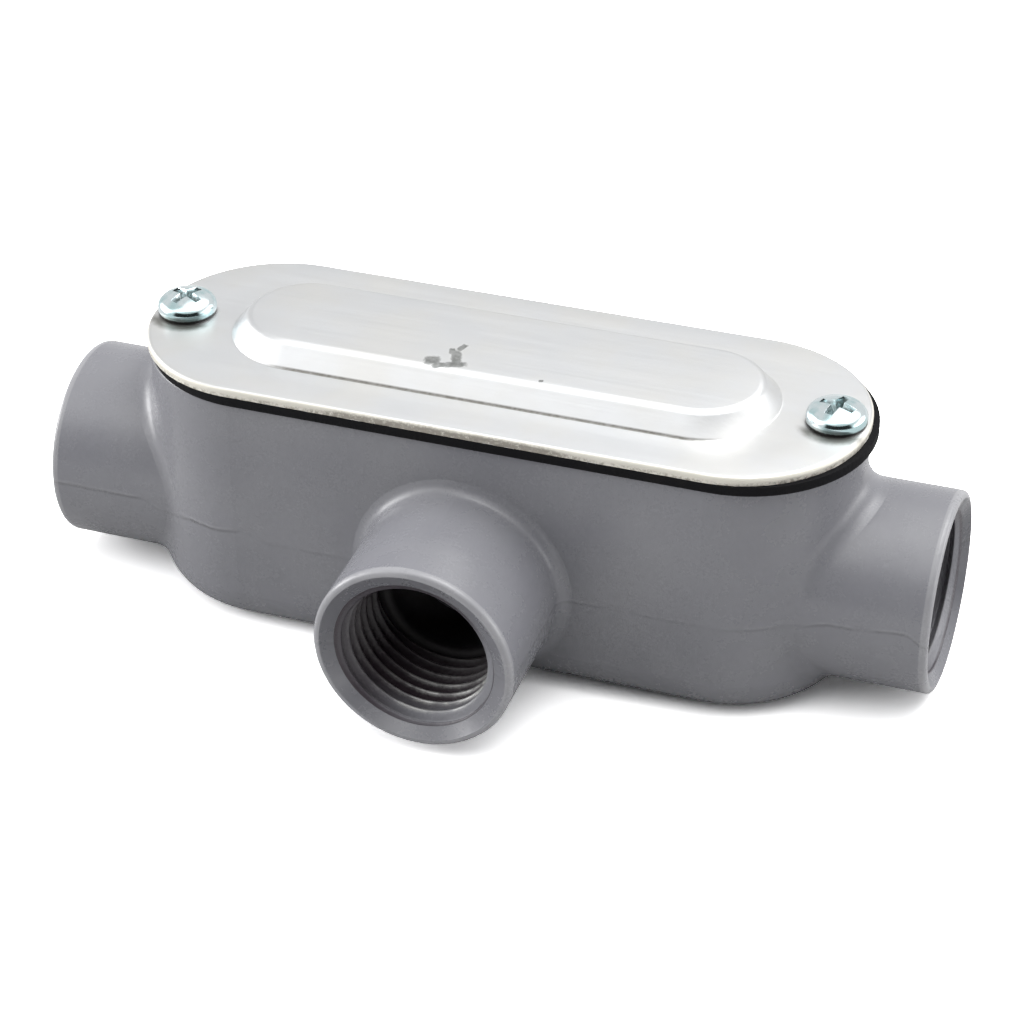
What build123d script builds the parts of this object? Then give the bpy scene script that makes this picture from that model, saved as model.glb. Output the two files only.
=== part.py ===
from build123d import *

import os
from math import radians, sqrt, tan

# Type T conduit body for 1/2 in trade size conduit, all sizes in mm.
# X runs along the straight run, -Y points out of the branch hub, +Z out of the cover.
# The origin lies on the flat back, under the crossing of the three hub axes.

# Hubs
overall_length = 120.0        # from mouth to mouth of the run
hub_diameter = 26.4
run_projection = 11.6         # from the end of the box to the mouth
branch_projection = 18.1      # from the side of the box to the mouth
hub_back_clearance = 1.6      # from the flat back up to the hubs
hub_rim_clearance = 7.0       # from the hubs up to the rim
hub_mouth_round = 0.7
mouth_rim = 0.9               # from the outside of a hub in to the countersink of its bore
run_root_fillet = 3.0
branch_root_fillet = 1.8

# Bores
thread_root_diameter = 21.2
thread_length = 13.4
countersink_depth = 0.8
throat_diameter = 15.8        # smooth bushing ring that keeps the wires off the threads
throat_round = 1.0

# Cast box
box_shoulder = 3.6            # from the side of a run hub to the side of the box
wall = 2.4
back_thickness = 2.6
draft_angle = 1.0
back_edge_round = 5.6
chamber_floor_round = 3.0
rim_edge_round = 0.3

# Screw bosses inside the ends of the box
screw_end_distance = 4.3      # from the end of the box to the screw's axis
boss_diameter = 7.2
boss_fillet = 1.2
tapped_hole_depth = 9.0
tapped_hole_clearance = 0.08  # on the diameter, round the plain shank

# Gasket, a die-cut ring that has slipped a little along the run
gasket_thickness = 1.25
gasket_overhang = 0.4         # past the rim of the box
gasket_band = 3.65            # width of the ring along its straight sides
gasket_web = 6.1              # from a screw's axis to the window
gasket_hole_diameter = 6.4
gasket_slip = 0.8

# Cover, stamped from sheet
cover_thickness = 1.25
cover_overhang = 0.35         # past the rim of the box
cover_hole_diameter = 4.9
cover_edge_round = 0.45
emboss_border = 6.8           # flat border along the straight sides of the raised field
emboss_web = 7.3              # from a screw's axis to the foot of the slope
emboss_rise = 2.9
emboss_slope = 51.0           # degrees from the flat of the cover
emboss_shoulder_round = 1.4

# Screws, pan heads with a cross recess
shank_diameter = 4.17
screw_length = 9.5
screw_tip_chamfer = 0.5
head_diameter = 7.8
head_height = 2.6
head_crown_radius = 8.0
head_edge_round = 1.4
cross_width = 1.2
cross_length = 4.8
cross_depth = 1.8
cross_wall_angle = 12.0
left_cross_angle = -23.0
right_cross_angle = -16.0

# Heights of the hubs' axes, which the parting line follows too, and of the meeting faces
hub_axis_height = hub_back_clearance + hub_diameter / 2
rim_height = hub_axis_height + hub_diameter / 2 + hub_rim_clearance
gasket_top = rim_height + gasket_thickness
cover_top = gasket_top + cover_thickness

# The box's outline at the parting line, and at its rim, where the draft makes it narrower
box_length = overall_length - 2 * run_projection
box_width = hub_diameter + 2 * box_shoulder
rim_shrink = 2 * (rim_height - hub_axis_height) * tan(radians(draft_angle))
rim_length = box_length - rim_shrink
rim_width = box_width - rim_shrink

# Outlines that follow the rim and the screws
screw_spacing = box_length - 2 * screw_end_distance
gasket_length = rim_length + 2 * gasket_overhang
gasket_width = rim_width + 2 * gasket_overhang
gasket_window_length = screw_spacing - 2 * gasket_web
gasket_window_width = gasket_width - 2 * gasket_band
cover_length = rim_length + 2 * cover_overhang
cover_width = rim_width + 2 * cover_overhang
emboss_length = screw_spacing - 2 * emboss_web
emboss_width = cover_width - 2 * emboss_border

# From the seat up to where the head's crown would meet its side without the round
head_side_height = head_height - head_crown_radius + sqrt(head_crown_radius ** 2 - (head_diameter / 2) ** 2)

# The cover's inner bend lies inside its outer bend by this much
bend_shift = cover_thickness * tan(radians(emboss_slope / 2))

# From a mouth in to the middle of the box's end or of its width
run_depth = run_projection + box_width / 2
branch_reach = branch_projection + box_width / 2

# A port plane lies on a hub's mouth and faces out of the hub, with its x pointing up
left_port = Plane((-overall_length / 2, 0, hub_axis_height), x_dir=(0, 0, 1), z_dir=(-1, 0, 0))
right_port = Plane((overall_length / 2, 0, hub_axis_height), x_dir=(0, 0, 1), z_dir=(1, 0, 0))
branch_port = Plane((0, -branch_reach, hub_axis_height), x_dir=(0, 0, 1), z_dir=(0, -1, 0))
ports = [(left_port, run_depth, run_root_fillet), (right_port, run_depth, run_root_fillet),
         (branch_port, branch_reach, branch_root_fillet)]

screw_places = [(-screw_spacing / 2, 0), (screw_spacing / 2, 0)]


def port_section(port):
    """The plane through a port's axis, where x is the radius and y the depth from the mouth."""
    return Plane(port.origin, x_dir=port.x_dir, z_dir=port.y_dir)


def port_axis(port):
    return Axis(port.origin, port.z_dir)


# The core that leaves the wiring chamber open to the rim, notched for the two screw bosses
with BuildPart() as chamber:
    with BuildSketch(Plane.XY.offset(rim_height)):
        SlotOverall(rim_length - 2 * wall, rim_width - 2 * wall)
    extrude(amount=back_thickness - rim_height, taper=draft_angle)
    fillet(chamber.edges().group_by(Axis.Z)[0], chamber_floor_round)
    with BuildSketch(Plane.XY.offset(rim_height)):
        with Locations(screw_places):
            Circle(boss_diameter / 2)
    extrude(amount=hub_axis_height - rim_height, mode=Mode.SUBTRACT)
    boss_corners = chamber.edges(Select.LAST).filter_by(
        lambda edge: edge.bounding_box().size.Z > (rim_height - hub_axis_height) / 2)
    fillet(boss_corners, boss_fillet)

# One bore core for each hub: countersink, thread, rounded bushing ring and throat
with BuildPart() as bores:
    for port, depth, root_fillet in ports:
        with BuildSketch(port_section(port)):
            with BuildLine():
                Polyline((throat_diameter / 2, thread_length + throat_round), (throat_diameter / 2, depth),
                         (0, depth), (0, 0), (hub_diameter / 2 - mouth_rim, 0),
                         (thread_root_diameter / 2, countersink_depth),
                         (thread_root_diameter / 2, thread_length),
                         (throat_diameter / 2 + throat_round, thread_length))
                RadiusArc((throat_diameter / 2 + throat_round, thread_length),
                          (throat_diameter / 2, thread_length + throat_round), throat_round)
            make_face()
        revolve(axis=port_axis(port))

# The die-cast box, drafted both ways from the parting line, with its three hubs
with BuildPart() as body:
    with BuildSketch(Plane.XY.offset(hub_axis_height)) as parting_outline:
        SlotOverall(box_length, box_width)
    extrude(amount=rim_height - hub_axis_height, taper=draft_angle)
    extrude(parting_outline.sketch, amount=-hub_axis_height, taper=draft_angle)
    fillet(body.edges().group_by(Axis.Z)[0], back_edge_round)
    fillet(body.edges().group_by(Axis.Z)[-1], rim_edge_round)
    for port, depth, root_fillet in ports:
        with BuildSketch(port_section(port)):
            with BuildLine():
                Polyline((hub_diameter / 2, hub_mouth_round), (hub_diameter / 2, depth), (0, depth),
                         (0, 0), (hub_diameter / 2 - hub_mouth_round, 0))
                RadiusArc((hub_diameter / 2 - hub_mouth_round, 0),
                          (hub_diameter / 2, hub_mouth_round), -hub_mouth_round)
            make_face()
        revolve(axis=port_axis(port))
        hub_root = body.edges(Select.LAST).filter_by(GeomType.LINE, reverse=True).filter_by(
            lambda edge: port.to_local_coords(edge @ 0).Z < -2 * hub_mouth_round)
        fillet(hub_root, root_fillet)
    add(chamber.part, mode=Mode.SUBTRACT)
    add(bores.part, mode=Mode.SUBTRACT)
    with Locations((0, 0, rim_height)):
        with Locations(screw_places):
            Hole((shank_diameter + tapped_hole_clearance) / 2, tapped_hole_depth)

with BuildPart() as gasket:
    with BuildSketch(Plane.XY.offset(rim_height)):
        with Locations((gasket_slip, 0)):
            SlotOverall(gasket_length, gasket_width)
            SlotOverall(gasket_window_length, gasket_window_width, mode=Mode.SUBTRACT)
            with Locations(screw_places):
                Circle(gasket_hole_diameter / 2, mode=Mode.SUBTRACT)
    extrude(amount=gasket_thickness)

# The cover is one thickness of sheet throughout: a raised field is pushed up from below
with BuildPart() as cover:
    with BuildSketch(Plane.XY.offset(gasket_top)):
        SlotOverall(cover_length, cover_width)
    extrude(amount=cover_thickness)
    fillet(cover.edges().group_by(Axis.Z)[-1], cover_edge_round)
    with BuildSketch(Plane.XY.offset(cover_top)):
        SlotOverall(emboss_length, emboss_width)
    extrude(amount=emboss_rise, taper=90 - emboss_slope)
    fillet(cover.edges().group_by(Axis.Z)[-1], emboss_shoulder_round)
    with BuildSketch(Plane.XY.offset(gasket_top)):
        SlotOverall(emboss_length - 2 * bend_shift, emboss_width - 2 * bend_shift)
    extrude(amount=emboss_rise, taper=90 - emboss_slope, mode=Mode.SUBTRACT)
    with Locations((0, 0, cover_top)):
        with Locations(screw_places):
            Hole(cover_hole_diameter / 2, cover_thickness)

body.part.label = "body"
gasket.part.label = "gasket"
cover.part.label = "cover"

os.makedirs("parts", exist_ok=True)
export_step(body.part, "parts/body.step")
export_step(gasket.part, "parts/gasket.step")
export_step(cover.part, "parts/cover.step")

for side, place, cross_angle in (("left", screw_places[0], left_cross_angle),
                                 ("right", screw_places[1], right_cross_angle)):
    seat = Plane((*place, cover_top)).rotated((0, 0, cross_angle))
    with BuildPart() as screw:
        with BuildSketch(Plane(seat.origin, x_dir=seat.x_dir, z_dir=-seat.y_dir)):
            with BuildLine():
                Polyline((0, head_height), (0, -screw_length),
                         (shank_diameter / 2 - screw_tip_chamfer, -screw_length),
                         (shank_diameter / 2, screw_tip_chamfer - screw_length), (shank_diameter / 2, 0),
                         (head_diameter / 2, 0), (head_diameter / 2, head_side_height))
                RadiusArc((0, head_height), (head_diameter / 2, head_side_height), head_crown_radius)
            make_face()
        revolve(axis=Axis(seat.origin, seat.z_dir))
        crown_edge = screw.edges().filter_by(lambda edge: edge.is_closed).sort_by(Axis.Z)[-1]
        fillet(crown_edge, head_edge_round)
        with BuildSketch(seat.offset(head_height)):
            Rectangle(cross_length, cross_width)
            Rectangle(cross_width, cross_length)
        extrude(amount=-cross_depth, taper=cross_wall_angle, mode=Mode.SUBTRACT)
    screw.part.label = "screw_" + side
    export_step(screw.part, "parts/screw_" + side + ".step")
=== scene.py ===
import math

import bmesh
import bpy
import numpy as np
from mathutils import Matrix, Vector


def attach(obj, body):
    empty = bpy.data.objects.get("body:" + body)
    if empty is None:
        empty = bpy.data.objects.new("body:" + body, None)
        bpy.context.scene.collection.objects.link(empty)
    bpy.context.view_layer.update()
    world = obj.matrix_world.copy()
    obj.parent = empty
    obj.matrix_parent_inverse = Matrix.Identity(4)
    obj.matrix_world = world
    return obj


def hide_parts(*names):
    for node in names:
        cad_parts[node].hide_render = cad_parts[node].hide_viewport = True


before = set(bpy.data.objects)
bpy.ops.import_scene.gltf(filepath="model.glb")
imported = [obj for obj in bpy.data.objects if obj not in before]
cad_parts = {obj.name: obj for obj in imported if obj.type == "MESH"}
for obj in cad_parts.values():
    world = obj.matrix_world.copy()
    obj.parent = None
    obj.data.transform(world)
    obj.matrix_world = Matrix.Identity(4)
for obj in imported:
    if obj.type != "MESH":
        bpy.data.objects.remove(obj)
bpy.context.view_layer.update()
mm = 0.001


class Wire:
    # one output socket that can stand in sums, such as 1 - wire * 0.3

    def __init__(self, bench, socket):
        self.bench = bench
        self.socket = socket

    def maths(self, operation, *others):
        values = dict(enumerate((self,) + others))
        return self.bench.node("ShaderNodeMath", {"operation": operation}, values)

    def __add__(self, other):
        return self.maths("ADD", other)

    def __radd__(self, other):
        return self.maths("ADD", other)

    def __sub__(self, other):
        return self.maths("SUBTRACT", other)

    def __rsub__(self, other):
        return self.bench.node("ShaderNodeMath", {"operation": "SUBTRACT"}, {0: other, 1: self})

    def __mul__(self, other):
        return self.maths("MULTIPLY", other)

    def __truediv__(self, other):
        return self.maths("DIVIDE", other)

    def __pow__(self, other):
        return self.maths("POWER", other)

    def __abs__(self):
        return self.maths("ABSOLUTE")


class Bench:
    # holds one node tree and adds nodes to it

    def __init__(self, owner):
        owner.use_nodes = True
        self.owner = owner
        self.tree = owner.node_tree
        self.tree.nodes.clear()

    def node(self, kind, settings=None, inputs=None, output=0):
        made = self.tree.nodes.new(kind)
        for key, value in (settings or {}).items():
            setattr(made, key, value)
        for key, value in (inputs or {}).items():
            if isinstance(value, Wire):
                self.tree.links.new(value.socket, made.inputs[key])
            else:
                made.inputs[key].default_value = value
        return Wire(self, made.outputs[output] if len(made.outputs) else None)

    def place(self):
        # the point on the piece, in mm
        metres = self.node("ShaderNodeTexCoord", output="Object")
        return self.node("ShaderNodeVectorMath", {"operation": "SCALE"}, {0: metres, "Scale": 1000.0})

    def split(self, vector):
        parts = self.node("ShaderNodeSeparateXYZ", inputs={0: vector})
        return [Wire(self, socket) for socket in parts.socket.node.outputs]

    def join(self, x, y, z):
        return self.node("ShaderNodeCombineXYZ", inputs={0: x, 1: y, 2: z})

    def noise(self, place, size, detail=2.0, roughness=0.5):
        # size is about the width of one blotch, in mm
        inputs = {"Vector": place, "Scale": 1 / size, "Detail": detail, "Roughness": roughness}
        return self.node("ShaderNodeTexNoise", {"noise_dimensions": "3D"}, inputs)

    def rise(self, value, low, high):
        # 0 below low, 1 above high, smooth between
        settings = {"interpolation_type": "SMOOTHSTEP"}
        inputs = {"Value": value, "From Min": low, "From Max": high}
        return self.node("ShaderNodeMapRange", settings, inputs)

    def between(self, value, start, full, fading, end):
        # 0 up to start, 1 from full to fading, 0 past end
        return self.rise(value, start, full) * (1 - self.rise(value, fading, end))

    def blend(self, mask, first, second):
        # mixes two colours
        inputs = {0: mask}
        for key, colour in ((6, first), (7, second)):
            inputs[key] = colour if isinstance(colour, Wire) else (*colour, 1.0)
        return self.node("ShaderNodeMix", {"data_type": "RGBA"}, inputs, output=2)

    def bump(self, height):
        # height is in mm
        return self.node("ShaderNodeBump", inputs={"Strength": 1.0, "Distance": mm, "Height": height})

    def finish(self, shader):
        self.node("ShaderNodeOutputMaterial", inputs={"Surface": shader})
        return self.owner


def newMaterial(name):
    return Bench(bpy.data.materials.new(name))


print("helpers ready")


# how finely the rings of a slot shape and the round ones are divided
slotSteps = {"arc": 64, "straight": 110}
roundSteps = {"thread": 144, "hole": 64, "screw": 96}


def addPiece(name, mesh, material):
    # puts a finished mesh in the scene as a piece of the object
    piece = bpy.data.objects.new(name, mesh)
    bpy.context.scene.collection.objects.link(piece)
    mesh.materials.append(material)
    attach(piece, "root")
    return piece


def stadium(halfStraight, radius, height, arcSteps, straightSteps):
    # one ring round a slot shape, counter-clockwise from the foot of the right arc
    right = np.linspace(-math.pi / 2, math.pi / 2, arcSteps + 1)
    run = np.linspace(halfStraight, -halfStraight, straightSteps + 1)[1:-1]
    x = np.concatenate([halfStraight + radius * np.cos(right), run,
                        -halfStraight - radius * np.cos(right), -run])
    y = np.concatenate([radius * np.sin(right), np.full(len(run), radius),
                        -radius * np.sin(right), np.full(len(run), -radius)])
    return np.stack([x, y, np.full(len(x), float(height))], axis=1)


def circle(radius, height, steps):
    angle = np.linspace(0, 2 * math.pi, steps, endpoint=False)
    return np.stack([radius * np.cos(angle), radius * np.sin(angle), np.full(steps, float(height))], axis=1)


def roundedPath(corners, steps=5):
    # corners are (..., radius, height, rounding); each is replaced by an arc in the last two lengths
    path = []
    for i, corner in enumerate(corners):
        here = np.array(corner[:-1], float)
        rounding = corner[-1]
        if not rounding or i in (0, len(corners) - 1):
            path.append(here)
            continue
        before = np.array(corners[i - 1][:-1], float) - here
        after = np.array(corners[i + 1][:-1], float) - here
        lengthBefore, lengthAfter = np.linalg.norm(before[-2:]), np.linalg.norm(after[-2:])
        unitBefore, unitAfter = before / lengthBefore, after / lengthAfter
        half = math.acos(max(-1, min(1, float(unitBefore[-2:] @ unitAfter[-2:])))) / 2
        reach = rounding / math.tan(half)
        reach = min(reach, lengthBefore * 0.98, lengthAfter * 0.98)
        start, end = here + unitBefore * reach, here + unitAfter * reach
        size = reach * math.tan(half)
        middle = unitBefore[-2:] + unitAfter[-2:]
        centre = here[-2:] + middle / np.linalg.norm(middle) * size / math.sin(half)
        angleStart = math.atan2(*(start[-2:] - centre)[::-1])
        turn = (math.atan2(*(end[-2:] - centre)[::-1]) - angleStart + math.pi) % (2 * math.pi) - math.pi
        for k in range(steps + 1):
            share = k / steps
            point = start + (end - start) * share
            angle = angleStart + turn * share
            point[-2:] = centre + size * np.array([math.cos(angle), math.sin(angle)])
            path.append(point)
    return path


def meshFromRings(name, rings, caps):
    # joins rings of equal length; caps is "slot" for a stadium, "fan" for a circle, "loop" to join the ends
    count = len(rings[0])
    points = [tuple(p) for p in np.concatenate(rings) * mm]
    faces = []
    pairs = list(zip(range(len(rings)), range(1, len(rings))))
    if caps == "loop":
        pairs.append((len(rings) - 1, 0))
    for a, b in pairs:
        for i in range(count):
            j = (i + 1) % count
            faces.append((a * count + i, a * count + j, b * count + j, b * count + i))
    for first in (0, (len(rings) - 1) * count) if caps != "loop" else ():
        if caps == "fan":
            centre = len(points)
            points.append(tuple(np.mean(rings[first // count], axis=0) * mm))
            faces += [(centre, first + i, first + (i + 1) % count) for i in range(count)]
        else:
            faces += slotCap(first, count)
    mesh = bpy.data.meshes.new(name)
    mesh.from_pydata(points, [], faces)
    tidy = bmesh.new()
    tidy.from_mesh(mesh)
    bmesh.ops.recalc_face_normals(tidy, faces=tidy.faces)
    tidy.to_mesh(mesh)
    tidy.free()
    mesh.shade_smooth()
    return mesh


def slotCap(first, count):
    # closes a stadium ring with strips from one long side to the other
    middle = slotSteps["arc"] // 2
    upper = [(middle + i) % count for i in range(count // 2 + 1)]
    lower = [(middle - i) % count for i in range(count // 2 + 1)]
    faces = []
    for i in range(count // 2):
        strip = [upper[i], upper[i + 1], lower[i + 1], lower[i]]
        faces.append(tuple(first + k for k in dict.fromkeys(strip)))
    return faces


def cut(piece, cutters):
    # takes the cutters out of the piece
    for cutter in cutters:
        change = piece.modifiers.new("cut", "BOOLEAN")
        change.operation = "DIFFERENCE"
        change.solver = "EXACT"
        change.object = cutter
    applyModifiers(piece)
    for cutter in cutters:
        bpy.data.meshes.remove(cutter.data)


def applyModifiers(piece):
    graph = bpy.context.evaluated_depsgraph_get()
    graph.update()
    changed = bpy.data.meshes.new_from_object(piece.evaluated_get(graph))
    piece.modifiers.clear()
    old = piece.data
    piece.data = changed
    bpy.data.meshes.remove(old)


def looseObject(name, mesh):
    made = bpy.data.objects.new(name, mesh)
    bpy.context.scene.collection.objects.link(made)
    return made


castingPaint = {
    "colour": (0.186, 0.187, 0.206),
    "paleColour": (0.222, 0.223, 0.239),
    "bareColour": (0.45, 0.45, 0.46),
    "footLineColour": (0.07, 0.07, 0.075),
    "lipHighlightColour": (0.31, 0.31, 0.325),
    "insideShadeColour": (0.012, 0.009, 0.011),
    "roughness": 0.27,
    "peelSize": 1.2,          # mm, orange peel of the sprayed paint
    "peelHeight": 0.006,
    "pitHeight": 0.008,
    "partingHeight": 14.8,    # mm above the back
    "stepWidth": 0.40,
    "stepHeight": 0.09,       # by how much the two halves of the die disagree
    "ridgeHeight": 0.08,
    "wander": 0.6,
    # where the parting line lifts: along the run from, to, by how many mm
    "liftsRight": ((42, 48, 1.3), (50, 56, 0.6), (57, 60, -1.4)),
    "liftsLeft": ((26, 31, 0.95), (31, 35, -0.5), (38, 42, -1.3), (43, 47, 1.5)),
    "coneRadius": 12.3,       # outside of the countersink in each mouth
    "coneSlope": 0.7,
    "lipHighlightEdges": (12.1, 12.5),
    "boreEdges": (10.5, 10.7),
    "runFace": (58.9, 59.1),  # along the run, and out of the branch hub, where the faces of the mouths begin
    "branchFace": (33.8, 34.0),
}


def partingLine(made, place, x, z):
    # 0 below the line between the die halves and 1 above it, the thin fin left along it, and the thin darker line
    # painted along its foot
    s = castingPaint
    wander = (made.noise(place, 6.0, 3.0) - 0.5) * s["wander"]
    above = z - wander - s["partingHeight"]
    for along, lifts in ((x, s["liftsRight"]), (0 - x, s["liftsLeft"])):
        for start, end, lift in lifts:
            above = above - made.rise(along, start, end) * lift
    # flash is left at the left end and over the right hub, and rubbed off between
    kept = 0.25 + made.rise(0 - x, 24, 34) * 0.75 + made.rise(x, 34, 46) * 0.6
    broken = made.rise(made.noise(place, 5.0, 2.0), 0.36, 0.56) * kept
    step = made.rise(above, 0 - s["stepWidth"], s["stepWidth"]) * kept
    fin = (1 - made.rise(abs(above), 0.03, s["stepWidth"])) * broken
    foot = (1 - made.rise(abs(above + 0.28), 0.05, 0.34)) * (0.15 + broken * 0.85)
    return step, fin, foot


def mouths(made, x, y, z):
    # the height that falls off towards each bore on the face of its mouth, a mask of the painted highlight on the
    # lips, and a mask of the painted shade inside the bores and the chamber
    s = castingPaint
    high = z - s["partingHeight"]
    runRadius = (y * y + high * high) ** 0.5
    branchRadius = (x * x + high * high) ** 0.5
    onRun = made.rise(abs(x), *s["runFace"])
    onBranch = made.rise(0 - y, *s["branchFace"])
    fall = onRun * (runRadius.maths("MINIMUM", s["coneRadius"]) - s["coneRadius"])
    fall = fall + onBranch * (branchRadius.maths("MINIMUM", s["coneRadius"]) - s["coneRadius"])
    lipHighlight = onRun * made.rise(runRadius, *s["lipHighlightEdges"]) + onBranch * made.rise(branchRadius, *s["lipHighlightEdges"])
    # where painted shade darkens the inside of the bores and the chamber
    shadeInRun = 1 - made.rise(runRadius, *s["boreEdges"])
    shadeInBranch = (1 - made.rise(branchRadius, *s["boreEdges"])) * (1 - made.rise(y, -4.0, 0.0))
    return fall * s["coneSlope"], lipHighlight, shadeInRun.maths("MAXIMUM", shadeInBranch)


def paintedCasting():
    made = newMaterial("casting_grey_paint")
    s = castingPaint
    place = made.place()
    x, y, z = made.split(place)
    clouds = made.noise(place, 14.0, 2.0, 0.5)
    flow = made.noise(place, 4.5, 2.0, 0.5)
    peel = made.noise(place, s["peelSize"], 2.0, 0.5)
    grit = made.noise(place, 0.45, 2.0, 0.6)
    pits = made.rise(made.noise(place, 1.3, 1.0, 0.5), 0.66, 0.82)
    step, fin, foot = partingLine(made, place, x, z)
    fall, lipHighlight, inside = mouths(made, x, y, z)
    tone = made.rise(clouds, 0.28, 0.74)
    colour = made.blend(tone * 0.6 + (grit - 0.5) * 0.2, s["colour"], s["paleColour"])
    colour = made.blend(fin * 0.12, colour, s["bareColour"])
    # a thin darker line painted just under the parting line
    colour = made.blend(foot * 0.3, colour, s["footLineColour"])
    # painted highlight: the lips of the mouths are made paler
    colour = made.blend(lipHighlight * (0.35 + flow * 0.7), colour, s["lipHighlightColour"])
    # painted shade, nearly black, inside the bores and the chamber
    colour = made.blend(inside * 0.94, colour, s["insideShadeColour"])
    roughness = s["roughness"] + (flow - 0.5) * 0.12 + (grit - 0.5) * 0.05 + inside * 0.3
    height = (peel - 0.5) * s["peelHeight"] * 2 + (flow - 0.5) * 0.05
    height = height + step * s["stepHeight"] + fin * s["ridgeHeight"] - pits * s["pitHeight"]
    height = height + fall
    shader = made.node("ShaderNodeBsdfPrincipled", inputs={
        "Base Color": colour, "Roughness": roughness, "Normal": made.bump(height), "IOR": 1.5})
    return made.finish(shader)


threadSizes = {
    "pitch": 1.814,
    "rootRadius": 10.6,
    "crestRadius": 9.42,
    "start": 0.8,             # depth below the mouth at which the countersink ends
    "crestDepth": 1.75,       # depth at which the first crest is full
    "end": 13.3,
    "taper": 1 / 32,
    "shell": 0.35,            # how far the sleeve's outside sits in the casting
    # middle of each mouth, the way in, and where along its turn the helix begins
    "places": {
        "thread_left": ((-60.0, 0, 14.8), (1, 0, 0), 0.35),
        "thread_right": ((60.0, 0, 14.8), (-1, 0, 0), 0.8),
        "thread_branch": ((0, -34.9, 14.8), (0, 1, 0), 0.1),
    },
}


def threadRadius(depth, turn, phase):
    s = threadSizes
    share = (depth / s["pitch"] - turn - phase) % 1.0
    fromCrest = np.abs(share - 0.5) * 2
    rise = np.clip((fromCrest - 0.10) / 0.80, 0, 1)
    rise = rise * rise * (3 - 2 * rise) * 0.25 + rise * 0.75
    radius = s["crestRadius"] + (s["rootRadius"] - s["crestRadius"]) * rise - s["taper"] * depth
    cone = (depth - s["start"]) / (s["crestDepth"] - s["start"])
    cone = s["rootRadius"] - cone * (s["rootRadius"] - s["crestRadius"])
    return np.maximum(radius, np.minimum(cone, s["rootRadius"]))


def threadMesh(name, phase):
    # a closed sleeve along local +Z, from the mouth inwards, with the helix on its inside
    s = threadSizes
    steps = roundSteps["thread"]
    depths = np.linspace(s["start"], s["end"], 118)
    angle = np.linspace(0, 2 * math.pi, steps, endpoint=False)
    rings = []
    for depth in depths:
        radius = threadRadius(depth, angle / (2 * math.pi), phase)
        rings.append(np.stack([radius * np.cos(angle), radius * np.sin(angle), np.full(steps, depth)], axis=1))
    outside = s["rootRadius"] + s["shell"]
    rings.append(circle(outside, s["end"], steps))
    rings.append(circle(outside, s["start"], steps))
    return meshFromRings(name, rings, "loop")


threadFinish = {
    "grooveShadeColour": (0.028, 0.018, 0.025),
    "crestWearAndHighlightColour": (0.50, 0.50, 0.49),
    "roughness": 0.36,
    "paintAndShadeEnds": (2.4, 5.5),        # depths between which the paint thins out and painted shade takes over
    "crestEdges": (9.46, 9.95),     # radii between which a crest's wear stops
    "wearBegins": (1.6, 2.6),
    "wearEnds": (5.0, 11.0),
}


def tappedThread():
    made = newMaterial("thread_worn_paint_and_shade")
    s = threadFinish
    place = made.place()
    x, y, z = made.split(place)
    radius = (x * x + y * y) ** 0.5 + z * threadSizes["taper"]
    patches = made.noise(place, 2.6, 3.0, 0.6)
    streaks = made.noise(made.join(x * 2.5, y * 2.5, z * 0.4), 1.0, 2.0, 0.6)
    # the side of the bore where the light falls is painted lighter, with brighter crests, and the other side is
    # painted in shade
    litSide = 0.12 + made.rise(0 - x * 0.75 - y * 0.66, -1.0, 8.0) * 0.88
    paintUnshaded = (1 - made.rise(z + (patches - 0.5) * 1.2, *s["paintAndShadeEnds"])) * (0.15 + litSide * 0.85)
    wearAndHighlight = 1 - made.rise(radius + (streaks - 0.5) * 0.25, *s["crestEdges"])
    wearAndHighlight = wearAndHighlight * (0.35 + made.rise(patches, 0.36, 0.60) * 0.65)
    # kept to the lit side, so the bright worn crests are partly a painted highlight
    wearAndHighlight = wearAndHighlight * made.rise(z, *s["wearBegins"]) * (1 - made.rise(z, *s["wearEnds"]) * 0.85) * litSide
    # paint near the mouth, and painted shade deeper in and on the side away from the light
    colour = made.blend(paintUnshaded, s["grooveShadeColour"], castingPaint["colour"])
    # a dark ring of painted shade where the sleeve meets the countersink
    colour = made.blend(0.6 - made.rise(z, 0.95, 1.2) * 0.6, colour, s["grooveShadeColour"])
    # worn crests, brighter on the lit side as a painted highlight
    colour = made.blend(wearAndHighlight, colour, s["crestWearAndHighlightColour"])
    roughness = s["roughness"] + (patches - 0.5) * 0.2 - wearAndHighlight * 0.06
    shader = made.node("ShaderNodeBsdfPrincipled", inputs={
        "Base Color": colour, "Metallic": wearAndHighlight * 0.5, "Roughness": roughness,
        "Normal": made.bump((streaks - 0.5) * 0.07 + (patches - 0.5) * 0.02)})
    return made.finish(shader)


def buildThreads():
    material = tappedThread()
    for name, (mouth, inward, phase) in threadSizes["places"].items():
        piece = addPiece(name, threadMesh(name, phase), material)
        piece.matrix_world = (Matrix.Translation(Vector(mouth) * mm)
                              @ Vector(inward).to_track_quat("Z", "Y").to_matrix().to_4x4())
    print("threads built")


coverSizes = {
    "halfStraight": 31.6,
    "radius": 16.797,
    "bottom": 36.25,
    "thickness": 1.25,
    "edgeRound": 0.45,
    "fieldHalfStraight": 26.803,
    "fieldRadius": 9.997,
    "fieldRise": 2.9,
    "slope": 51.0,
    "shoulder": 1.4,
    "footRound": 0.2,
    "screwPlace": 44.1,
    "holeRadius": 2.45,
    "drillEnds": (34.0, 40.0),
    "tornHeight": 0.45,       # mm, the torn band of the sheared edge, above the underside
    "nick": 0.05,
    "deepestNick": 0.1,
}


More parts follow.
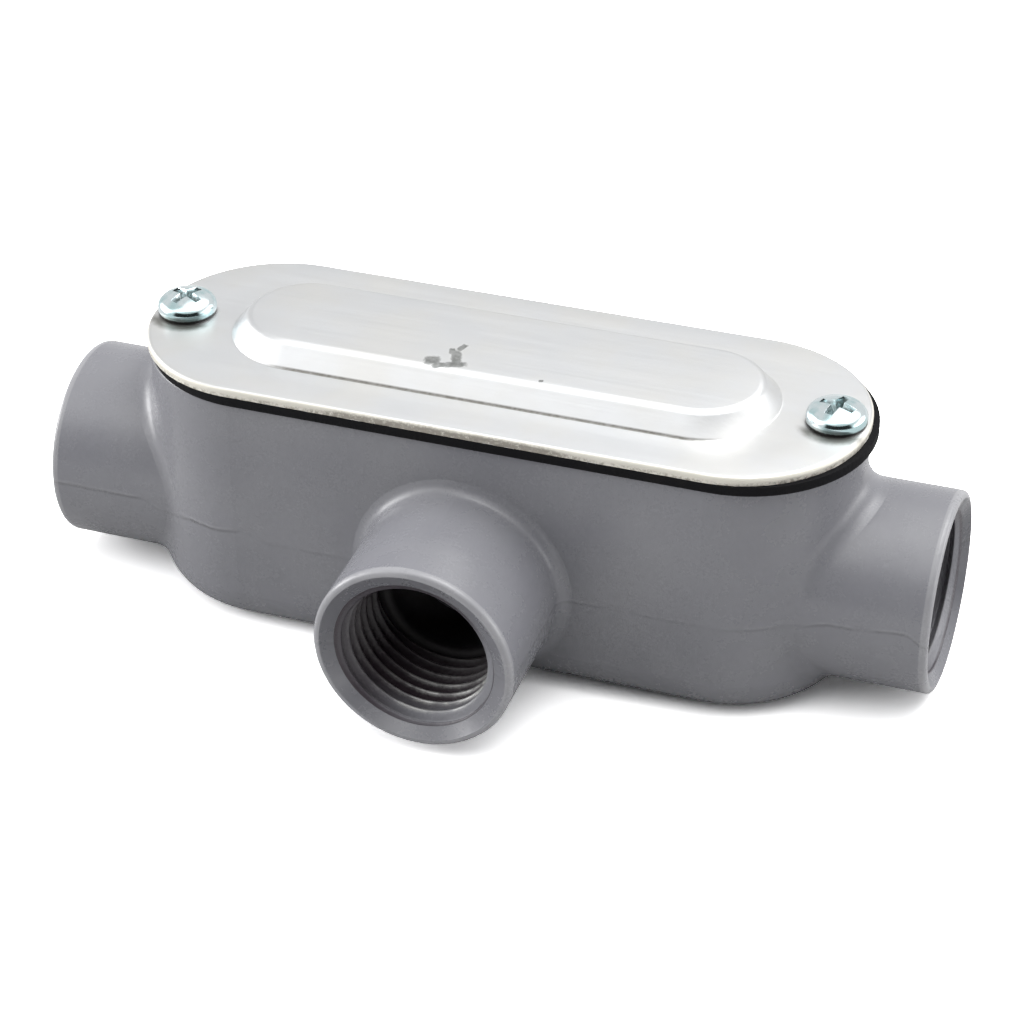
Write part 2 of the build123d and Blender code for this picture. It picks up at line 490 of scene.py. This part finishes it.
def coverProfile():
    # from the middle of the underside, out round the edge and back to the middle of the top
    s = coverSizes
    low, high = s["bottom"], s["bottom"] + s["thickness"]
    run = s["fieldRise"] / math.tan(math.radians(s["slope"]))
    bend = s["thickness"] * math.tan(math.radians(s["slope"] / 2))
    inside, outside = s["fieldHalfStraight"], s["halfStraight"]
    foot, rim = s["fieldRadius"], s["radius"]
    middle = 0.6   # nearly on the slot's centre line, where the strips of the caps begin
    between = ((inside + outside) / 2, foot + 2.5)
    return roundedPath([
        (inside, middle, low + s["fieldRise"], 0),
        (inside, foot - bend - run, low + s["fieldRise"], 1.0),
        (inside, foot - bend, low, 0.6),
        (*between, low, 0),
        (outside, rim, low, 0.06),
        (outside, rim, low + 0.25, 0),
        (outside, rim, low + 0.42, 0),
        (outside, rim, low + 0.60, 0),
        (outside, rim, high, s["edgeRound"]),
        (*between, high, 0),
        (inside, foot, high, s["footRound"]),
        (inside, foot - run, high + s["fieldRise"], s["shoulder"]),
        (inside, middle, high + s["fieldRise"], 0),
    ], steps=6)


def coverMesh():
    s = coverSizes
    rings = []
    chance = np.random.default_rng(11)
    for halfStraight, radius, height in coverProfile():
        ring = stadium(halfStraight, radius, height, slotSteps["arc"], slotSteps["straight"])
        if radius > s["radius"] - 0.1 and height < s["bottom"] + s["tornHeight"]:
            ring = tearEdge(ring, halfStraight, chance)
        rings.append(ring)
    return meshFromRings("cover_sheet", rings, "slot")


def tearEdge(ring, halfStraight, chance):
    # nicks of uneven depth in the torn band of a sheared edge, never past the blank's outline
    count = len(ring)
    rough = np.convolve(np.tile(chance.normal(0, 1, count), 3), np.ones(3) / 3, "same")[count:2 * count]
    depth = np.clip(np.abs(rough) * coverSizes["nick"], 0, coverSizes["deepestNick"])
    centre = np.stack([np.clip(ring[:, 0], -halfStraight, halfStraight), np.zeros(count), ring[:, 2]], axis=1)
    out = ring - centre
    out /= np.linalg.norm(out, axis=1)[:, None]
    return ring - out * depth[:, None]


coverFinish = {
    "colour": (0.672, 0.682, 0.692),
    "warmColour": (0.65, 0.65, 0.64),
    "edgeColour": (0.72, 0.69, 0.60),
    "nickColour": (0.27, 0.245, 0.21),
    "paintedShadeColour": (0.17, 0.165, 0.15),
    "scuffColour": (0.17, 0.175, 0.17),
    "roughness": 0.40,
    "edgeTop": (37.40, 37.49),      # heights between which the sheared edge turns into the sheet's face
    "tornTop": (36.55, 37.00),
    "worstTorn": (-24, -12, 8, 20),  # along the run, where the shear's worst stretch rises and falls off
    "headShadowOut": 0.9,               # how far the painted shadow of the head lies before the screw's axis
    "headShadowEdges": (3.9, 5.2),
    "creaseEnds": (-31, -25, 27, 33),
}


def stampedSheet():
    made = newMaterial("cover_mill_aluminium")
    s = coverFinish
    place = made.place()
    x, y, z = made.split(place)
    up = made.split(made.node("ShaderNodeNewGeometry", output="Normal"))[2]
    rolling = made.noise(made.join(x * 0.07, y * 2.0, z), 1.0, 3.0, 0.6)
    clouds = made.noise(place, 10.0, 3.0, 0.55)
    frost = made.noise(place, 0.6, 3.0, 0.6)
    nicks = made.noise(made.join(x * 1.8, y * 1.8, z * 1.8), 1.0, 4.0, 0.75)
    edge = (1 - made.rise(up, 0.6, 0.95)) * (1 - made.rise(z, *s["edgeTop"]))
    # the shear was worst along the middle of the cover
    worst = made.between(x, *s["worstTorn"]) * 0.16 + made.noise(place, 6.0, 2.0) * 0.2 - 0.1
    torn = edge * (1 - made.rise(z + (nicks - 0.5) * 1.1 - worst * 2.4, *s["tornTop"]))
    colour = made.blend(made.rise(clouds, 0.35, 0.7), s["colour"], s["warmColour"])
    colour = made.blend(edge * 0.8, colour, s["edgeColour"])
    colour = made.blend(torn * made.rise(nicks + worst, 0.44, 0.66) * 0.85, colour, s["nickColour"])
    # painted shade in the foot of the raised field
    colour = made.blend(creaseShadeMask(made, x, y, z) * (0.6 + frost * 0.6), colour, s["paintedShadeColour"])
    # painted shadow and reflection of each screw's head on the cover before it
    fromScrew = ((abs(x) - coverSizes["screwPlace"]) ** 2 + (y + s["headShadowOut"]) ** 2) ** 0.5
    headShadow = (1 - made.rise(fromScrew + (frost - 0.5) * 0.5, *s["headShadowEdges"])) * (1 - made.rise(y, -3.6, -2.0))
    colour = made.blend(headShadow * 0.85, colour, s["paintedShadeColour"])
    scuff = scuffMask(made, place, x, y) * made.rise(up, 0.5, 0.8)
    colour = made.blend(scuff * (0.85 + (frost - 0.5) * 0.7), colour, s["scuffColour"])
    roughness = s["roughness"] + (rolling - 0.5) * 0.12 + (clouds - 0.5) * 0.12 + edge * 0.15 + scuff * 0.2
    height = (rolling - 0.5) * 0.008 + (frost - 0.5) * 0.006 + (nicks - 0.5) * 0.06 * torn
    height = height + (clouds - 0.5) * 0.04 + scuff * (frost - 0.5) * 0.03
    shader = made.node("ShaderNodeBsdfPrincipled", inputs={
        "Base Color": colour, "Metallic": 1.0 - edge * 0.7, "Roughness": roughness, "Normal": made.bump(height)})
    return made.finish(shader)


def creaseShadeMask(made, x, y, z):
    # painted shade in the sharp foot of the raised field, which fades out round its two ends
    s = coverSizes
    top = s["bottom"] + s["thickness"]
    past = (abs(x) - s["fieldHalfStraight"]).maths("MAXIMUM", 0.0)
    reach = (past * past + y * y) ** 0.5
    foot = 1 - made.rise(abs(reach - s["fieldRadius"] + 0.05), 0.06, 0.24)
    return foot * made.between(x, *coverFinish["creaseEnds"]) * made.rise(z, top - 0.3, top - 0.1)


scuffBlots = [
    # where a dark mark lies on the raised field: x, y, half length, half width, lean in degrees
    (-7.12, -6.41, 0.98, 0.88, 18),
    (-5.85, -7.15, 0.90, 0.50, 18),
    (-4.02, -6.56, 1.40, 0.62, 18),
    (-4.36, -4.95, 0.62, 1.75, 18),
    (-5.40, -3.55, 0.42, 0.66, 18),
    (-4.50, -2.35, 0.85, 0.40, 70),
    (7.65, -6.92, 0.30, 0.26, 18),
]


def scuffMask(made, place, x, y):
    ragged = (made.noise(place, 0.6, 3.0, 0.7) - 0.5) * 0.9
    mask = None
    for middleX, middleY, halfLength, halfWidth, lean in scuffBlots:
        c, k = math.cos(math.radians(lean)), math.sin(math.radians(lean))
        along = ((x - middleX) * c + (y - middleY) * k) / halfLength
        across = ((y - middleY) * c - (x - middleX) * k) / halfWidth
        blot = 1 - made.rise((along ** 4 + across ** 4) ** 0.25 + ragged, 0.8, 1.25)
        mask = mask.maths("MAXIMUM", blot) if mask else blot
    return mask


def buildCover():
    material = stampedSheet()
    cover = addPiece("cover_sheet", coverMesh(), material)
    s = coverSizes
    drills = []
    for side in (-1, 1):
        middle = np.array([side * s["screwPlace"], 0, 0])
        rings = [circle(s["holeRadius"], height, roundSteps["hole"]) + middle for height in s["drillEnds"]]
        drills.append(looseObject("drill", meshFromRings("drill", rings, "fan")))
    cut(cover, drills)
    cover.data.set_sharp_from_angle(angle=math.radians(50))
    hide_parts("cover")
    print("cover built")


screwSizes = {
    "seat": 37.5,
    "headRadius": 3.9,
    "headHeight": 2.6,
    "crownRadius": 8.0,
    "edgeRound": 1.4,
    "shankRadius": 2.085,
    "length": 9.5,
    "tip": 0.5,
    "crossLength": 4.8,
    "crossWidth": 1.2,
    "crossDepth": 1.8,
    "crossTaper": 12.0,
    "crossRound": 0.08,
    "places": {"screw_left": (-44.1, -23.0), "screw_right": (44.1, -16.0)},
}


def screwBlank(name):
    # the crown and the round of the head meet in one tangent
    s = screwSizes
    crownMiddle = s["headHeight"] - s["crownRadius"]
    roundMiddle = s["headRadius"] - s["edgeRound"]
    meeting = math.asin(roundMiddle / (s["crownRadius"] - s["edgeRound"]))
    roundHeight = crownMiddle + math.sqrt((s["crownRadius"] - s["edgeRound"]) ** 2 - roundMiddle ** 2)
    path = []
    for angle in np.linspace(0.01, meeting, 14):
        path.append((s["crownRadius"] * math.sin(angle), crownMiddle + s["crownRadius"] * math.cos(angle)))
    for angle in np.linspace(meeting, math.pi / 2, 16)[1:]:
        path.append((roundMiddle + s["edgeRound"] * math.sin(angle), roundHeight + s["edgeRound"] * math.cos(angle)))
    path += roundedPath([
        (s["headRadius"], 0.5, 0),
        (s["headRadius"], 0.0, 0.12),
        (s["shankRadius"], 0.0, 0.1),
        (s["shankRadius"], s["tip"] - s["length"], 0),
        (s["shankRadius"] - s["tip"], -s["length"], 0),
        (0.15, -s["length"], 0),
    ])
    return meshFromRings(name, [circle(radius, height, roundSteps["screw"]) for radius, height in path], "fan")


def wingMesh(name, length, width):
    # a tapered bar that cuts one pair of the recess's wings
    s = screwSizes
    top, bottom = s["headHeight"], s["headHeight"] - s["crossDepth"]
    inset = s["crossDepth"] * math.tan(math.radians(s["crossTaper"]))
    rings = []
    for height, shrink in ((top + 0.5, 0.0), (top, 0.0), (bottom, inset)):
        a, b = length / 2 - shrink, width / 2 - shrink
        rings.append(np.array([(a, -b, height), (a, b, height), (-a, b, height), (-a, -b, height)], float))
    return meshFromRings(name, rings, "fan")


def buildScrews():
    s = screwSizes
    material = zincPlate()
    for name, (placeX, crossAngle) in s["places"].items():
        screw = addPiece(name + "_head", screwBlank(name), material)
        wings = [looseObject("wing", wingMesh("wing", s["crossLength"], s["crossWidth"])),
                 looseObject("wing", wingMesh("wing", s["crossWidth"], s["crossLength"]))]
        cut(screw, wings)
        soften = screw.modifiers.new("soften", "BEVEL")
        soften.width = s["crossRound"] * mm
        soften.segments = 2
        soften.limit_method = "ANGLE"
        soften.angle_limit = math.radians(40)
        applyModifiers(screw)
        screw.data.shade_smooth()
        screw.data.set_sharp_from_angle(angle=math.radians(55))
        screw.matrix_world = (Matrix.Translation(Vector((placeX, 0, s["seat"])) * mm)
                              @ Matrix.Rotation(math.radians(crossAngle), 4, "Z"))
        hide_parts(name)
    print("screws built")


zincFinish = {
    "colour": (0.74, 0.82, 0.84),
    "tintColour": (0.52, 0.69, 0.71),
    "recessShadeColour": (0.30, 0.34, 0.34),
    "headFootShadeColour": (0.05, 0.05, 0.05),
    "roughness": 0.13,
    "recessEnds": (2.5, 2.7),  # radii between which the painted shade in the recess stops
    "headFootShadeEdges": (0.3, 0.5),   # heights over the seat between which the painted shade at the foot of the head stops
}


def zincPlate():
    made = newMaterial("screw_zinc_plate")
    s = zincFinish
    place = made.place()
    x, y, z = made.split(place)
    blotches = made.noise(place, 2.6, 2.0, 0.6)
    fine = made.noise(place, 0.5, 2.0, 0.6)
    radius = (x * x + y * y) ** 0.5
    crownRadius = screwSizes["crownRadius"]
    crown = (crownRadius ** 2 - radius * radius) ** 0.5 + screwSizes["headHeight"] - crownRadius
    inRecess = made.rise(crown - z, 0.12, 0.5) * (1 - made.rise(radius, *s["recessEnds"]))
    colour = made.blend(made.rise(blotches, 0.4, 0.65), s["colour"], s["tintColour"])
    # painted shade in the recess
    colour = made.blend(inRecess * made.rise(fine, 0.25, 0.6), colour, s["recessShadeColour"])
    # painted shade at the foot of the head, where it meets the cover
    colour = made.blend(1 - made.rise(z + (fine - 0.5) * 0.2, *s["headFootShadeEdges"]), colour, s["headFootShadeColour"])
    roughness = s["roughness"] + (blotches - 0.5) * 0.12 + inRecess * 0.25 + (fine - 0.5) * 0.06
    height = (blotches - 0.5) * 0.02 + (fine - 0.5) * 0.003
    shader = made.node("ShaderNodeBsdfPrincipled", inputs={
        "Base Color": colour, "Metallic": 1.0, "Roughness": roughness, "Normal": made.bump(height)})
    return made.finish(shader)


gasketFinish = {
    "colour": (0.006, 0.006, 0.007),
    "dustColour": (0.013, 0.012, 0.012),
    "roughness": 0.7,
    "shine": 0.1,
}


def gasketRubber():
    made = newMaterial("gasket_black_rubber")
    s = gasketFinish
    place = made.place()
    x, y, z = made.split(place)
    grain = made.noise(place, 0.5, 3.0, 0.65)
    knifeMarks = made.noise(made.join(x * 1.6, y * 1.6, z * 0.3), 1.0, 2.0, 0.6)
    dust = made.rise(made.noise(place, 5.0, 4.0, 0.7), 0.52, 0.72)
    colour = made.blend(dust * 0.6, s["colour"], s["dustColour"])
    roughness = s["roughness"] + (grain - 0.5) * 0.2 + dust * 0.12
    shader = made.node("ShaderNodeBsdfPrincipled", inputs={
        "Base Color": colour, "Roughness": roughness, "Specular IOR Level": s["shine"],
        "Normal": made.bump((grain - 0.5) * 0.02 + (knifeMarks - 0.5) * 0.06)})
    return made.finish(shader)


def dressCadPieces():
    for name, material in (("body", paintedCasting()), ("gasket", gasketRubber())):
        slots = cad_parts[name].material_slots
        for one in slots:
            one.link = "OBJECT"
            one.material = material
    print("casting and gasket dressed")


studio = {
    # soft boxes all round: bearing and height in degrees, brightness
    "boxes": [
        (0, 8, 3.6), (30, 8, 5.4), (90, 8, 0.9), (104, 36, 0.85), (144, 33, 0.5), (186, 9, 13.5), (215, 30, 2.8),
        (0, 60, 3.0), (60, 60, 8.2), (240, 60, 2.6), (290, 60, 0.8), (0, 88, 5.0),
    ],
    "boxSharpness": 20.0,
    "fill": 0.02,
    "towardCamera": (0.339, -0.941),
    "roomSide": (0.58, 0.72),
    "roomDepth": 0.97,        # how much of the light the dark side of the room takes
    "roomTop": (0.58, 0.66),  # how high the dark side reaches, as a share of straight up
    "floorHalf": 3.0,         # metres
    "floorDrop": 0.00005,
    "floorColour": (0.6, 0.6, 0.6),
    "floorSeen": (2.0, 2.0, 2.0),   # to the eye, so that only the deep of the shadow shows
    "floorMirrored": (0.5, 0.5, 0.5),   # white too under this light
}


def backgroundRays(made):
    # 1 for what the eye sees of the background, and 1 for what metal and glass show of it
    glossy = made.node("ShaderNodeLightPath", output="Is Glossy Ray")
    clear = made.node("ShaderNodeLightPath", output="Is Transmission Ray")
    return made.node("ShaderNodeLightPath", output="Is Camera Ray"), glossy.maths("MAXIMUM", clear)


def studioWorld():
    s = studio
    world = bpy.data.worlds.new("white_studio")
    bpy.context.scene.world = world
    made = Bench(world)
    outward = made.node("ShaderNodeTexCoord", output="Generated")
    x, y, z = made.split(outward)
    light = s["fill"]
    for bearing, height, brightness in s["boxes"]:
        a, e = math.radians(bearing), math.radians(height)
        aim = (math.cos(e) * math.cos(a), math.cos(e) * math.sin(a), math.sin(e))
        near = made.node("ShaderNodeVectorMath", {"operation": "DOT_PRODUCT"}, {0: outward, 1: aim}, output=1)
        light = ((near - 1) * s["boxSharpness"]).maths("EXPONENT") * brightness + light
    # the photographer's side of the room is dark up to the edge of the soft box over it
    level = (x * x + y * y + 0.0001) ** 0.5
    toCamera = (x * s["towardCamera"][0] + y * s["towardCamera"][1]) / level
    room = made.rise(toCamera, *s["roomSide"]) * (1 - made.rise(z, *s["roomTop"]))
    light = light * (1 - room * s["roomDepth"])
    # metal and glass show the white background too, with the brighter boxes and the dark side of the room in it
    cameraRay, mirrored = backgroundRays(made)
    light = mirrored * light.maths("MAXIMUM", 1 - room * s["roomDepth"]) + (1 - mirrored) * light
    light = cameraRay + (1 - cameraRay) * light
    background = made.node("ShaderNodeBackground", inputs={"Strength": light})
    made.node("ShaderNodeOutputWorld", inputs={"Surface": background})


def studioFloor():
    s = studio
    made = newMaterial("floor_white")
    cameraRay, mirrored = backgroundRays(made)
    colour = made.blend(mirrored, s["floorColour"], s["floorMirrored"])
    shader = made.node("ShaderNodeBsdfDiffuse", inputs={"Color": made.blend(cameraRay, colour, s["floorSeen"])})
    material = made.finish(shader)
    half = s["floorHalf"]
    mesh = bpy.data.meshes.new("floor")
    mesh.from_pydata([(-half, -half, 0), (half, -half, 0), (half, half, 0), (-half, half, 0)], [], [(0, 1, 2, 3)])
    mesh.materials.append(material)
    floor = looseObject("floor", mesh)
    floor.location = (0, 0, -s["floorDrop"])


def buildStudio():
    studioWorld()
    studioFloor()
    bpy.context.scene.view_settings.view_transform = "Standard"
    print("studio built")


cameraPlace = {
    "location": (0.11233, -0.31186, 0.23939),
    "heading": 19.633,
    "tilt": -34.161,
    "roll": -0.81,
    "lens": 106.15,
    "sensor": 36.0,
}


def placeCamera():
    s = cameraPlace
    lens = bpy.data.cameras.new("camera")
    lens.lens = s["lens"]
    lens.sensor_width = s["sensor"]
    lens.clip_start = 0.01
    lens.clip_end = 20.0
    camera = looseObject("camera", lens)
    camera.matrix_world = (Matrix.Translation(s["location"])
                           @ Matrix.Rotation(math.radians(s["heading"]), 4, "Z")
                           @ Matrix.Rotation(math.radians(90 + s["tilt"]), 4, "X")
                           @ Matrix.Rotation(math.radians(s["roll"]), 4, "Z"))
    bpy.context.scene.camera = camera
    print("camera placed")


dressCadPieces()
buildThreads()
buildCover()
buildScrews()
buildStudio()
placeCamera()

bpy.context.view_layer.update()
